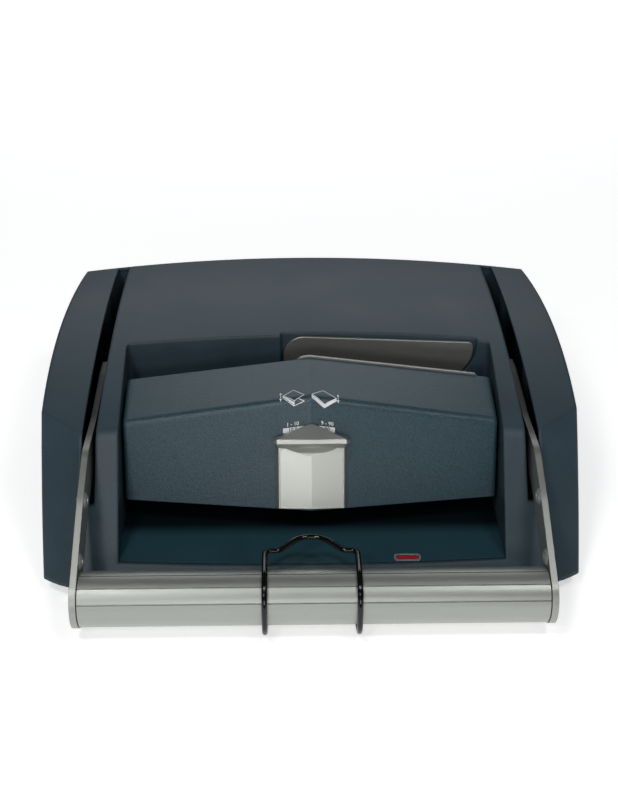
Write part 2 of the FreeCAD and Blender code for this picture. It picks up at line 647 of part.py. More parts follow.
N_MID = [(-B0, 17.0), (-7.2, 17.0), (-15.1, 21.9), (-13.4, 25.2), (-B0, 25.2)]
N_SIDE = [(27.8 * fall - B0, 17.0), (-6.2, 17.0), (-14.4, 21.9), (-12.7, 25.2), (27.8 * fall - B0, 25.2)]
N_END = [(31 * fall - B0, 20.2), (-5.0, 20.2), (-10.6, 21.9), (-9.9, 23.2), (31 * fall - B0, 23.2)]
ledge = nose("slider_ledge", [(-31, N_END), (-27.8, N_SIDE), (0, N_MID), (27.8, N_SIDE), (31, N_END)])
roof = doc.addObject("Part::Wedge", "slider_roof")
for k, v in dict(Xmin=-27.6, Xmax=27.6, Zmin=0.0, Zmax=12.4, Ymin=0, Ymax=10.6, X2min=-2.0, X2max=2.0, Z2min=0.0, Z2max=1.2).items():
    bind(roof, k, cell("slider_roof_" + k.lower() + "_", v))
roof.Placement = Placement(V(0, -B0 - 0.1, 25.1), Rotation(V(1, 0, 0), 90))   # wedge stood on its base
neck_bar = box("slider_neck", (-4.6, -1.2, 2), (4.6, 5.2, 18), False)
faced = cut("slider_faced", plate, [panel, dish], False)
slider_raw = fuse("slider_raw", [faced, ledge, roof, neck_bar], False)
slider = cut("gauge_slider", slider_raw, cyl("slider_pilot", 1.25, 8.2, (0, -2.2, 10), "Y", False))
slider.Placement = SLID
ret = cut("slider_retainer", box("retainer_plate", (-11, 5.3, 0), (11, 7.1, 20), False),
          cyl("retainer_hole", 1.7, 6, (0, 3, 10), "Y", False))
ret.Placement = SLID
scr = fuse("slider_screw", [cyl("slider_screw_shank", 1.2, 8.0, (0, -0.8, 10), "Y", False),
                            cyl("slider_screw_head", 2.8, 1.8, (0, 7.15, 10), "Y", False)])
scr.Placement = SLID

# ---------------------------------------------------------------- lever: arms, handle, shaft
PY, PZ, HY, HZ = D("pivot_y"), D("pivot_z"), D("handle_y"), D("handle_z")
ARM = [(-189.5, 48.5), (-129, 86), (-89, 106.5), (-40, 107.8), (22, 118.0), (43.5, 118.6), (68, 97.0), (157, 82), (146, 37.4), (40, 64),
       (-20, 80), (-78, 81), (-112, 67), (-160, 38.0)]
RIVETS = [(-122, 82), (-164.5, 55)]
for sgn, side in ((1, "right"), (-1, "left")):
    x0 = D("arm_in") if sgn > 0 else -D("arm_in") - D("arm_thick")
    blade = prism("blade_" + side, "YZ", x0, D("arm_thick"), ARM,
                  soft={1: 80.0, 2: 25.0, 3: 60.0, 4: 25.0, 5: 4.0, 6: 12.0, 10: 60.0, 11: 40.0, 12: 40.0}, node=False)
    end = cyl("arm_end_" + side, D("arm_end_r"), D("arm_thick"), (x0, HY, HZ), "X", False)
    hub = cyl("arm_hub_" + side, D("hub_r"), D("arm_thick"), (x0, PY, PZ), "X", False)
    holes = [cyl("arm_bore_" + side, D("shaft_r") + 0.02, 20, (x0 - 7, PY, PZ), "X", False),
             cyl("arm_bolt_hole_" + side, 4.1, 20, (x0 - 7, HY, HZ), "X", False)]
    for i, (ry, rz) in enumerate(RIVETS):
        holes.append(cyl("arm_rivet_hole%d_%s" % (i, side), 3.05, 20, (x0 - 7, ry, rz), "X", False))
    cut("arm_" + side, fuse("arm_raw_" + side, [blade, end, hub], False), holes)

tube = cut("handle_tube", cyl("handle_outer", D("handle_r"), 352.6, (-176.3, HY, HZ), "X", False),
           cyl("handle_bore", D("handle_bore_r"), 360, (-180, HY, HZ), "X", False), False)
grooves = []
for i, deg in enumerate((89, 122, 155)):
    a = math.radians(deg)
    grooves.append(cyl("handle_groove%d" % i, 0.7, 360, (-180, HY + 20.55 * math.cos(a), HZ + 20.55 * math.sin(a)), "X", False))
cut("handle_bar", tube, grooves)
group("handle_plugs", [cut("plug_" + sd, cyl("plug_body_" + sd, D("handle_bore_r") - 0.02, 34, (x, HY, HZ), "X", False),
                           cyl("plug_bore_" + sd, 3.95, 60, (x - 10, HY, HZ), "X", False), False)
                       for sd, x in (("right", 142.95), ("left", -176.95))])


def bolt(tag, head_r, head_h, shank_r, shank_l, base, direction):
    """Cap screw: head seat at base, shank along direction, head the other way."""
    ax = {"+X": ("X", 1), "-X": ("X", -1), "+Y": ("Y", 1), "-Y": ("Y", -1), "+Z": ("Z", 1), "-Z": ("Z", -1)}[direction]
    i = "XYZ".index(ax[0])
    s0, h0 = list(base), list(base)
    if ax[1] > 0:
        h0[i] -= head_h
    else:
        s0[i] -= shank_l
    return fuse("bolt_" + tag, [cyl("shank_" + tag, shank_r, shank_l, s0, ax[0], False),
                                cyl("head_" + tag, head_r, head_h, h0, ax[0], False)], False)


xo = D("arm_in") + D("arm_thick")
group("handle_bolts", [bolt("handle_r", 7.5, 2.6, 3.9, 28, (xo + 0.02, HY, HZ), "-X"),
                       bolt("handle_l", 7.5, 2.6, 3.9, 28, (-xo - 0.02, HY, HZ), "+X")])
rv = []
for sgn, sd in ((1, "r"), (-1, "l")):
    for i, (ry, rz) in enumerate(RIVETS):
        n = "%s%d" % (sd, i)
        dome = doc.addObject("Part::Sphere", "dome_" + n)
        bind(dome, "Radius", cell("rivet_dome_rad", 9.0))
        dome.Placement = Placement(V(sgn * (D("arm_in") + 6.1), ry, rz), Rotation())
        cap = common("cap_" + n, dome, box("cap_box_" + n, (min(sgn * 170, sgn * 176.98), ry - 12, rz - 12),
                                           (max(sgn * 170, sgn * 176.98), ry + 12, rz + 12), False), False)
        sh = cyl("rivet_shank_" + n, 3.0, 8.4, (sgn * 174.5 if sgn > 0 else -182.9, ry, rz), "X", False)
        rv.append(fuse("rivet_" + n, [cap, sh], False))
group("arm_rivets", rv)
shaft = cyl("shaft_bar", D("shaft_r"), 363.0, (-181.5, PY, PZ), "X", False)
cut("main_shaft", shaft, [cyl("shaft_tap_r", 3.05, 22, (160.5, PY, PZ), "X", False),
                          cyl("shaft_tap_l", 3.05, 22, (-182.5, PY, PZ), "X", False)])
hs = []
for sgn, sd in ((1, "r"), (-1, "l")):
    w = cyl("washer_" + sd, 12.0, 1.6, (182.02 if sgn > 0 else -183.62, PY, PZ), "X", False)
    b = bolt("hub_" + sd, 5.0, 3.6, 3.0, 18, (sgn * 183.3, PY, PZ), "-X" if sgn > 0 else "+X")
    hs.append(fuse("hub_screw_" + sd, [w, b], False))
group("hub_screws", hs)
group("shaft_collars", [cut("collar_" + sd, cyl("collar_out_" + sd, 12.0, 8.3, (x, PY, PZ), "X", False),
                            cyl("collar_in_" + sd, 8.02, 20, (x - 6, PY, PZ), "X", False), False)
                        for sd, x in (("r", 168.6), ("l", -176.9))])

# pinions: root disc, one tooth, the tooth repeated round the shaft
M, NT = D("gear_module"), int(D("gear_teeth"))
RP = M * NT / 2
for sgn, side in ((1, "right"), (-1, "left")):
    x0 = D("pinion_in") if sgn > 0 else -D("pinion_in") - D("pinion_width")
    body = doc.addObject("PartDesign::Body", "bd_pinion_" + side)
    sk = body_sketch(body, "sk_pinion_" + side, "YZ", 0)
    fill_circle(sk, "pinion_" + side, 0, 0, 0, 0, RP - 1.3 * M)
    fill_circle(sk, "pinion_" + side, 1, 1, 0, 0, D("shaft_r") + 0.02)
    pad = body.newObject("PartDesign::Pad", "pd_pinion_" + side)
    pad.Profile = sk
    bind(pad, "Length", "pinion_width")
    settle(sk, pad)
    sk2 = body_sketch(body, "sk_tooth_" + side, "YZ", 0)
    fill_poly(sk2, "tooth_" + side, [(-1.75, RP - 1.6 * M), (1.75, RP - 1.6 * M), (0.98, RP), (0.42, RP + 0.92 * M),
                                     (-0.42, RP + 0.92 * M), (-0.98, RP)])
    pad2 = body.newObject("PartDesign::Pad", "pd_tooth_" + side)
    pad2.Profile = sk2
    bind(pad2, "Length", "pinion_width")
    settle(sk2, pad2)
    pp = body.newObject("PartDesign::PolarPattern", "pp_pinion_" + side)
    pp.Originals = [pad2]
    pp.Axis = ([f for f in body.Origin.OriginFeatures if f.Role == "X_Axis"][0], [""])
    pp.Angle = 360
    body.Tip = pp
    pp.setExpression("Occurrences", "Dims.gear_teeth")
    settle(pp, body)
    body.Placement = Placement(V(x0, PY, PZ), Rotation())
    done(body, "pinion_" + side)

# ---------------------------------------------------------------- wire bail on the handle
rc = D("handle_r") + 0.5 + D("wire_d") / 2
bh = D("bail_half")


def on_bar(x, deg):
    a = math.radians(deg)
    return V(x, HY + rc * math.cos(a), HZ + rc * math.sin(a))


def corner(x, y, z, r, deg):
    """Point on a bend of radius r round (y, z) in the plane of one leg."""
    a = math.radians(deg)
    return V(x, y + r * math.cos(a), z + r * math.sin(a))


zt, zb, yf = HZ + rc, HZ - rc, HY - rc             # over, under and in front of the bar
bend, tip_y = D("bail_bend_r"), D("bail_tip_y")
sh_r, ar, foot_r, sh_y = D("bail_shoulder_r"), D("bail_arch_r"), D("bail_arch_foot_r"), D("bail_shoulder_y")
q = math.sqrt(0.5)


turn = math.radians(D("bail_arch_deg"))
rise, mx = D("bail_arch_rise"), D("bail_mid_x")
ax_, ay_ = ar * math.sin(turn), rise - ar + ar * math.cos(turn)       # where the arch runs into its straight flank
fx = ax_ + ay_ / math.tan(turn)                                       # where the flank would meet the shoulder
ft = foot_r * math.tan(turn / 2)


def half_path(s):
    x = mx + s * bh
    at = lambda dx, dy: V(mx + s * dx, sh_y + dy, zt)
    by, bz = yf + bend, zb + bend
    return [Part.LineSegment(V(x, tip_y, zb), V(x, by, zb)).toShape(),
            Part.Arc(corner(x, by, bz, bend, -90), corner(x, by, bz, bend, -135), corner(x, by, bz, bend, 180)).toShape(),
            Part.LineSegment(V(x, yf, bz), V(x, yf, HZ)).toShape(),
            Part.Arc(on_bar(x, 180), on_bar(x, 135), on_bar(x, 90)).toShape(),
            Part.LineSegment(V(x, HY, zt), V(x, sh_y - sh_r, zt)).toShape(),
            Part.Arc(at(bh, -sh_r), at(bh - sh_r + sh_r * q, -sh_r + sh_r * q), at(bh - sh_r, 0)).toShape(),
            Part.LineSegment(at(bh - sh_r, 0), at(fx + ft, 0)).toShape(),
            Part.Arc(at(fx + ft, 0), at(fx + ft - foot_r * math.sin(turn / 2), foot_r - foot_r * math.cos(turn / 2)),
                     at(fx - ft * math.cos(turn), ft * math.sin(turn))).toShape(),
            Part.LineSegment(at(fx - ft * math.cos(turn), ft * math.sin(turn)), at(ax_, ay_)).toShape()]


arch = Part.Arc(V(mx + ax_, sh_y + ay_, zt), V(mx, sh_y + rise, zt), V(mx - ax_, sh_y + ay_, zt)).toShape()
path = Part.Wire(Part.__sortEdges__(half_path(1) + [arch] + half_path(-1)))
start = path.OrderedVertexes[0].Point
sect = Part.Wire([Part.Circle(V(start.x, tip_y, zb), V(0, 1, 0), D("wire_d") / 2).toShape()])
bail = doc.addObject("Part::Feature", "bail")
bail.Shape = path.makePipeShell([sect], True, True)
done(bail, "wire_bail")

# ---------------------------------------------------------------- base, feet, frames
HALF = [(0, -149.0), (120, -145.8), (187, -140.4), (203, -134.0), (212.4, -124.5), (219.6, -60), (223.5, 40), (222.0, 120), (215.4, 202.8)]
BASE = HALF + [(-x, y) for x, y in reversed(HALF[1:])]
FRAME_FIX = [(158, -20), (158, 80), (158, 178)]
TRAY_FIX = [(120, -105), (120, -45)]
FEET = [(178, 160), (185, -108)]
base_holes = []
for bx, by in BOSS + FRAME_FIX + TRAY_FIX:
    base_holes += [(bx, by, 1.75), (-bx, by, 1.75)]
for bx, by in FEET:
    base_holes += [(bx, by, 3.02), (-bx, by, 3.02)]
prism("base_plate", "XY", 9.5, 2.5, BASE, holes=base_holes)
ft = []
for i, (fx, fy) in enumerate(FEET):
    for sgn, sd in ((1, "r"), (-1, "l")):
        cone = doc.addObject("Part::Cone", "foot_cone%d%s" % (i, sd))
        for p, al, v in (("Radius1", "foot_low_rad", 9.5), ("Radius2", "foot_top_rad", 11.5), ("Height", "foot_height", 9.48)):
            bind(cone, p, cell(al, v))
        cone.Placement = Placement(V(sgn * fx, fy, 0), Rotation())
        ft.append(fuse("foot%d%s" % (i, sd), [cone, cyl("foot_stem%d%s" % (i, sd), 3.0, 5.0, (sgn * fx, fy, 7.5), "Z", False)], False))
group("rubber_feet", ft)
bs = []
for i, (bx, by) in enumerate(BOSS + FRAME_FIX + TRAY_FIX):
    for sgn, sd in ((1, "r"), (-1, "l")):
        bs.append(bolt("base%d%s" % (i, sd), 3.6, 2.0, 1.5, 13.0 if i < len(BOSS) else 6.4, (sgn * bx, by, 9.48), "+Z"))
group("base_screws", bs)

FRAME = [(-32, 12.02), (190, 12.02), (190, 70), (172, 97), (-32, 97)]
JAW_FIX = [(-8, 47), (-8, 78)]
CROSS_Z = 48.5
for sgn, side in ((1, "right"), (-1, "left")):
    x0 = 164.0 if sgn > 0 else -168.0
    web = prism("frame_web_" + side, "YZ", x0, 4.0, FRAME,
                holes=[(PY, PZ, 11.05)] + [(y, z, 3.1) for y, z in JAW_FIX] + [(110, CROSS_Z, 3.1), (150, 91.2, 1.6)],
                soft={2: 12.0, 3: 12.0, 4: 10.0}, node=False)
    xf = (152.0, 165.0) if sgn > 0 else (-165.0, -152.0)
    flange = box("frame_flange_" + side, (xf[0], -32, 12.02), (xf[1], 190, 14.6), False)
    cut("frame_" + side, fuse("frame_raw_" + side, [web, flange], False),
        [cyl("frame_pilot%d_%s" % (i, side), 1.55, 8, (sgn * fx, fy, 10), "Z", False) for i, (fx, fy) in enumerate(FRAME_FIX)])
group("shaft_bushes", [cut("bush_" + sd, fuse("bush_raw_" + sd, [
    cyl("bush_barrel_" + sd, 11.0, 4.4, (min(s * 163.8, s * 168.2), PY, PZ), "X", False),
    cyl("bush_flange_" + sd, 14.0, 1.9, (min(s * 162.05, s * 163.95), PY, PZ), "X", False)], False),
    cyl("bush_bore_" + sd, 8.05, 12, (min(s * 160, s * 172), PY, PZ), "X", False), False) for sd, s in (("r", 1), ("l", -1))])

# ---------------------------------------------------------------- jaws, rods and slot floor
ROD_X, ROD_Z = 156.0, 57.0                      # rods stand clear of the ends of the longest spine
fj = box("fixed_jaw_bar", (-163.9, -20, 40.5), (163.9, 5, 88), False)
fj_cut = []
for sgn, sd in ((1, "r"), (-1, "l")):
    fj_cut.append(cyl("rod_seat_" + sd, 4.02, 22, (sgn * ROD_X, -15.0, ROD_Z), "Y", False))
    for i, (y, z) in enumerate(JAW_FIX):
        fj_cut.append(cyl("jaw_tap%d%s" % (i, sd), 2.55, 20, (150 if sgn > 0 else -170, y, z), "X", False))
    for i, z in enumerate((49.0, 80.0)):
        fj_cut.append(cyl("fixed_face_tap%d%s" % (i, sd), 1.55, 14, (sgn * 60, -6, z), "Y", False))
    fj_cut.append(cyl("bracket_tap_" + sd, 1.55, 12, (sgn * 110, -10, 78), "Z", False))
cut("fixed_jaw", fj, fj_cut)
FACE_HOLES = [(s * 60, z, 2.1) for s in (1, -1) for z in (49.0, 80.0)]
prism("fixed_jaw_face", "XZ", -8.0, 2.98, [(-150, 41), (150, 41), (150, 87), (-150, 87)], holes=FACE_HOLES)
group("fixed_face_screws", [bolt("fface%d" % i, 3.6, 1.4, 1.5, 10.0, (x, 8.02, z), "-Y")
                            for i, (x, z) in enumerate([(60, 49), (60, 80), (-60, 49), (-60, 80)])])
group("guide_rods", [cyl("rod_" + sd, 4.0, 130.5, (s * ROD_X, -14.8, ROD_Z), "Y", False) for sd, s in (("r", 1), ("l", -1))])
cross = box("cross_bar_raw", (-163.9, 104, 44), (163.9, 116, 70), False)
cut("rear_cross_bar", cross, [cyl("cross_rod_" + sd, 4.02, 30, (s * ROD_X, 95, ROD_Z), "Y", False) for sd, s in (("r", 1), ("l", -1))]
    + [cyl("cross_tap_" + sd, 2.55, 20, (150 if s > 0 else -170, 110, CROSS_Z), "X", False) for sd, s in (("r", 1), ("l", -1))])
fb = []
for sgn, sd in ((1, "r"), (-1, "l")):
    for i, (y, z) in enumerate(JAW_FIX + [(110, CROSS_Z)]):
        fb.append(bolt("frame%d%s" % (i, sd), 5.0, 3.6, 2.5, 16.0, (sgn * 168.02, y, z), "-X" if sgn > 0 else "+X"))
group("frame_bolts", fb)
fuse("spine_rest", [box("rest_top", (-150, 6, 34), (150, 60, 38), False), box("rest_leg_a", (-150, 6, 12.02), (150, 9, 35), False),
                    box("rest_leg_b", (-150, 57, 12.02), (150, 60, 35), False)])

# moving jaw with its bushes, face and racks
pj = box("press_jaw_bar", (-163, 21, 40.5), (163, 46, 88), False)
pj_cut = []
for sgn, sd in ((1, "r"), (-1, "l")):
    pj_cut.append(cyl("bush_seat_" + sd, 6.22, 40, (sgn * ROD_X, 15, ROD_Z), "Y", False))
    pj_cut.append(cyl("rack_hole_" + sd, 2.65, 40, (sgn * 146, 15, 82.4), "Y", False))
    pj_cut.append(cyl("rack_sink_" + sd, 4.3, 4.2, (sgn * 146, 20.5, 82.4), "Y", False))
    for i, z in enumerate((49.0, 80.0)):
        pj_cut.append(cyl("press_face_tap%d%s" % (i, sd), 1.55, 14, (sgn * 60, 20, z), "Y", False))
cut("press_jaw", pj, pj_cut)
prism("press_jaw_face", "XZ", -20.98, 2.98, [(-150, 41), (150, 41), (150, 87), (-150, 87)], holes=FACE_HOLES)
group("press_face_screws", [bolt("pface%d" % i, 3.6, 1.4, 1.5, 10.0, (x, 17.98, z), "+Y")
                            for i, (x, z) in enumerate([(60, 49), (60, 80), (-60, 49), (-60, 80)])])
group("guide_bushes", [cut("gbush_" + sd, cyl("gbush_out_" + sd, 6.2, 24.9, (s * ROD_X, 21.05, ROD_Z), "Y", False),
                           cyl("gbush_in_" + sd, 4.05, 40, (s * ROD_X, 15, ROD_Z), "Y", False), False) for sd, s in (("r", 1), ("l", -1))])
PITCH = math.pi * M
ZP = PZ + RP
for sgn, side in ((1, "right"), (-1, "left")):
    x0 = D("rack_in") if sgn > 0 else -D("rack_in") - D("rack_width")
    body = doc.addObject("PartDesign::Body", "bd_rack_" + side)
    sk = body_sketch(body, "sk_rack_" + side, "YZ", x0)
    fill_poly(sk, "rack_" + side, [(46.02, ZP + 1.3 * M), (166, ZP + 1.3 * M), (166, 88), (46.02, 88)])
    pad = body.newObject("PartDesign::Pad", "pd_rack_" + side)
    pad.Profile = sk
    bind(pad, "Length", "rack_width")
    settle(sk, pad)
    y0 = PY - 7.5 * PITCH
    sk2 = body_sketch(body, "sk_cog_" + side, "YZ", x0)
    fill_poly(sk2, "cog_" + side, [(y0 - 1.75, ZP + 1.6 * M), (y0 - 0.42, ZP - 0.92 * M), (y0 + 0.42, ZP - 0.92 * M), (y0 + 1.75, ZP + 1.6 * M)])
    pad2 = body.newObject("PartDesign::Pad", "pd_cog_" + side)
    pad2.Profile = sk2
    bind(pad2, "Length", "rack_width")
    settle(sk2, pad2)
    lp = body.newObject("PartDesign::LinearPattern", "lp_rack_" + side)
    lp.Originals = [pad2]
    lp.Direction = ([f for f in body.Origin.OriginFeatures if f.Role == "Y_Axis"][0], [""])
    body.Tip = lp
    lp.setExpression("Length", "Dims." + cell("rack_teeth_span", 9 * PITCH))
    lp.setExpression("Occurrences", "Dims." + cell("rack_teeth", 10))
    settle(lp, body)
    body.Label = "bd_rack_" + side
    cut("rack_" + side, body, cyl("rack_tap_" + side, 2.55, 22, (sgn * 146, 44, 82.4), "Y", False))
group("rack_screws", [bolt("rack_" + sd, 4.0, 3.2, 2.5, 38.0, (s * 146, 24.5, 82.4), "+Y") for sd, s in (("r", 1), ("l", -1))])
group("rack_guides", [cut("rguide_" + sd, box("rguide_raw_" + sd, (min(s * 139, s * 163.98), 138, 88.35), (max(s * 139, s * 163.98), 162, 94), False),
                          cyl("rguide_tap_" + sd, 1.55, 12, (min(s * 154, s * 166), 150, 91.2), "X", False), False) for sd, s in (("r", 1), ("l", -1))])
group("guide_screws", [bolt("rguide_" + sd, 2.8, 1.8, 1.5, 12.0, (s * 168.02, 150, 91.2), "-X" if s > 0 else "+X") for sd, s in (("r", 1), ("l", -1))])

# lever stops on the base, hood brackets and their screws
group("stop_posts", [box("post_" + sd, (min(s * 173, s * 185), 34, 12.02), (max(s * 173, s * 185), 46, 50), False) for sd, s in (("r", 1), ("l", -1))])
group("stop_pads", [box("pad_" + sd, (min(s * 174, s * 184), 35, 50.02), (max(s * 174, s * 184), 45, 62.2), False) for sd, s in (("r", 1), ("l", -1))])
hb = []
for sgn, sd in ((1, "r"), (-1, "l")):
    raw = fuse("hbr_" + sd, [box("hbr_foot_" + sd, (sgn * 110 - 12, -18, 88.02), (sgn * 110 + 12, 3.2, 90.2), False),
                             box("hbr_leg_" + sd, (sgn * 110 - 12, 1.0, 88.02), (sgn * 110 + 12, 3.2, 109), False)], False)
    hb.append(cut("hbracket_" + sd, raw, [cyl("hbr_hole_" + sd, 1.7, 10, (sgn * 110, -10, 84), "Z", False),
                                          cyl("hbr_tap_" + sd, 1.55, 10, (sgn * 110, -4, 103), "Y", False)], False))
group("hood_brackets", hb)
group("hood_screws", [bolt("hood_r", 3.2, 1.3, 1.5, 8.4, (110, 8.92, 103), "-Y"), bolt("hood_l", 3.2, 1.3, 1.5, 5.8, (-110, 6.02, 103), "-Y"),
                      bolt("hood_m", 3.2, 1.3, 1.5, 8.4, (5, 8.92, 112), "-Y"),
                      bolt("hbr_r", 3.2, 1.3, 1.5, 8.0, (110, -10, 90.22), "-Z"), bolt("hbr_l", 3.2, 1.3, 1.5, 8.0, (-110, -10, 90.22), "-Z")])

# ---------------------------------------------------------------- write the pieces
doc.recompute()
bad = []
for o in doc.Objects:
    if "Invalid" in o.State or "Error" in o.State:
        bad.append((o.Label, o.State))
for label, o in EX.items():
    if o.Shape.isNull() or not o.Shape.isValid():
        bad.append((label, "null or invalid shape"))
if bad:
    raise RuntimeError("not written: %s" % bad)
os.makedirs("parts", exist_ok=True)
for label, o in EX.items():
    o.Shape.exportStep("parts/%s.step" % label)
    bb = o.Shape.BoundBox
    print("%-22s solids %2d  vol %9.0f  x %7.1f %7.1f  y %7.1f %7.1f  z %7.1f %7.1f" % (
        label, len(o.Shape.Solids), o.Shape.Volume, bb.XMin, bb.XMax, bb.YMin, bb.YMax, bb.ZMin, bb.ZMax))
print(len(EX), "pieces")
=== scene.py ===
import math

import bmesh
import bpy
from mathutils import Matrix, Vector


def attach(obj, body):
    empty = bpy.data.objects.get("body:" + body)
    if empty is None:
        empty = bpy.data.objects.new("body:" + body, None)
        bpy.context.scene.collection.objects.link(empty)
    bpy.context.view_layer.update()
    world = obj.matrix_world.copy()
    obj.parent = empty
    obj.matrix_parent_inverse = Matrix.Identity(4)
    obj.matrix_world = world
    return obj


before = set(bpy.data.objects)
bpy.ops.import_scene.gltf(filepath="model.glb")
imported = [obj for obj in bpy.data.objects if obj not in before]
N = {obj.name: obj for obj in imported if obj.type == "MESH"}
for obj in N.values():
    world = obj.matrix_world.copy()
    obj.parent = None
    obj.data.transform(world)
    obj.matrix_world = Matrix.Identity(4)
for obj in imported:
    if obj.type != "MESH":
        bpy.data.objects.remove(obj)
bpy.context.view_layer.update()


# ------------------------------------------------------------------ surfaces
def lin(c):
    return tuple((x / 12.92 if x <= 0.04045 else ((x + 0.055) / 1.055) ** 2.4) for x in (v / 255.0 for v in c))


def material(name, rgb, rough=0.5, metal=0.0, grain=0.0, grain_size=0.0006, vary=0.04, rough_vary=0.06, stretch=(1, 1, 1),
             coat=0.0, spec=0.5, mottling=0.02, pebble=0.0, edge=0.0, glow=0.0, aniso=0.0,
             painted_shade=None):
    """A surface with its own grain: noise drives colour, roughness and bump in the object's own space.
    pebble: share of a cell pattern in the grain; edge: radius that rounds the light on sharp edges;
    the last argument (y0, y1, share) paints shade into the colour, darker towards the back between two depths."""
    m = bpy.data.materials.new(name)
    m.use_nodes = True
    nt = m.node_tree
    nt.nodes.clear()
    out = nt.nodes.new("ShaderNodeOutputMaterial")
    b = nt.nodes.new("ShaderNodeBsdfPrincipled")
    nt.links.new(b.outputs[0], out.inputs[0])
    tc = nt.nodes.new("ShaderNodeTexCoord")
    mp = nt.nodes.new("ShaderNodeMapping")
    mp.inputs["Scale"].default_value = stretch
    nt.links.new(tc.outputs["Object"], mp.inputs[0])

    def noise(scale, detail=3.0, rough_=0.55):
        n = nt.nodes.new("ShaderNodeTexNoise")
        n.inputs["Scale"].default_value = scale
        n.inputs["Detail"].default_value = detail
        n.inputs["Roughness"].default_value = rough_
        nt.links.new(mp.outputs[0], n.inputs["Vector"])
        return n

    def math_node(op, a, c, d=None, clamp=False):
        n = nt.nodes.new("ShaderNodeMath")
        n.operation = op
        n.use_clamp = clamp
        for k, v in enumerate((a, c, d)):
            if v is None:
                continue
            if isinstance(v, (int, float)):
                n.inputs[k].default_value = v
            else:
                nt.links.new(v, n.inputs[k])
        return n.outputs[0]

    c0 = lin(rgb)
    n_fine, n_broad = noise(1.0 / grain_size, 2.0), noise(1.0 / mottling, 3.0)
    height = n_fine.outputs[0]
    if pebble > 0:
        vo = nt.nodes.new("ShaderNodeTexVoronoi")
        vo.feature = "SMOOTH_F1"
        vo.inputs["Scale"].default_value = 0.75 / grain_size
        nt.links.new(mp.outputs[0], vo.inputs["Vector"])
        height = math_node("MULTIPLY_ADD", vo.outputs["Distance"], -pebble, math_node("MULTIPLY", n_fine.outputs[0], 1 - 0.5 * pebble))
    # fine and broad colour variation
    mix = nt.nodes.new("ShaderNodeMix")
    mix.data_type = "RGBA"
    mix.inputs[6].default_value = (*(x * (1 - vary) for x in c0), 1)
    mix.inputs[7].default_value = (*(min(1, x * (1 + vary)) for x in c0), 1)
    both = math_node("ADD", n_fine.outputs[0], n_broad.outputs[0])
    half = math_node("MULTIPLY_ADD", both, 1.4, -0.9, True)
    nt.links.new(half, mix.inputs[0])
    # painted shade: the base colour is scaled down towards the back along the object's own Y
    if painted_shade:
        sep = nt.nodes.new("ShaderNodeSeparateXYZ")
        nt.links.new(tc.outputs["Object"], sep.inputs[0])
        ramp = nt.nodes.new("ShaderNodeMapRange")
        ramp.interpolation_type = "SMOOTHSTEP"
        for k, v in zip(("From Min", "From Max", "To Min", "To Max"), (painted_shade[0], painted_shade[1], 1.0, painted_shade[2])):
            ramp.inputs[k].default_value = v
        nt.links.new(sep.outputs["Y"], ramp.inputs[0])
        dark = nt.nodes.new("ShaderNodeVectorMath")
        dark.operation = "SCALE"
        nt.links.new(mix.outputs[2], dark.inputs[0])
        nt.links.new(ramp.outputs[0], dark.inputs["Scale"])
        nt.links.new(dark.outputs[0], b.inputs["Base Color"])
    else:
        nt.links.new(mix.outputs[2], b.inputs["Base Color"])
    # roughness
    rr = nt.nodes.new("ShaderNodeMapRange")
    rr.inputs["To Min"].default_value = max(0.03, rough - rough_vary)
    rr.inputs["To Max"].default_value = min(1, rough + rough_vary)
    nt.links.new(half, rr.inputs[0])
    nt.links.new(rr.outputs[0], b.inputs["Roughness"])
    # rounded edges and bump
    base_normal = None
    if edge > 0:
        bv = nt.nodes.new("ShaderNodeBevel")
        bv.samples = 6
        bv.inputs["Radius"].default_value = edge
        base_normal = bv.outputs[0]
    if grain > 0:
        bump = nt.nodes.new("ShaderNodeBump")
        bump.inputs["Strength"].default_value = grain
        bump.inputs["Distance"].default_value = grain_size * 0.35
        nt.links.new(height, bump.inputs["Height"])
        if base_normal:
            nt.links.new(base_normal, bump.inputs["Normal"])
        base_normal = bump.outputs[0]
    if base_normal:
        nt.links.new(base_normal, b.inputs["Normal"])
    b.inputs["Metallic"].default_value = metal
    b.inputs["Specular IOR Level"].default_value = spec
    b.inputs["Coat Weight"].default_value = coat
    b.inputs["Coat Roughness"].default_value = 0.08
    b.inputs["Anisotropic"].default_value = aniso
    if glow > 0:
        b.inputs["Emission Color"].default_value = (1, 1, 1, 1)
        b.inputs["Emission Strength"].default_value = glow
    return m


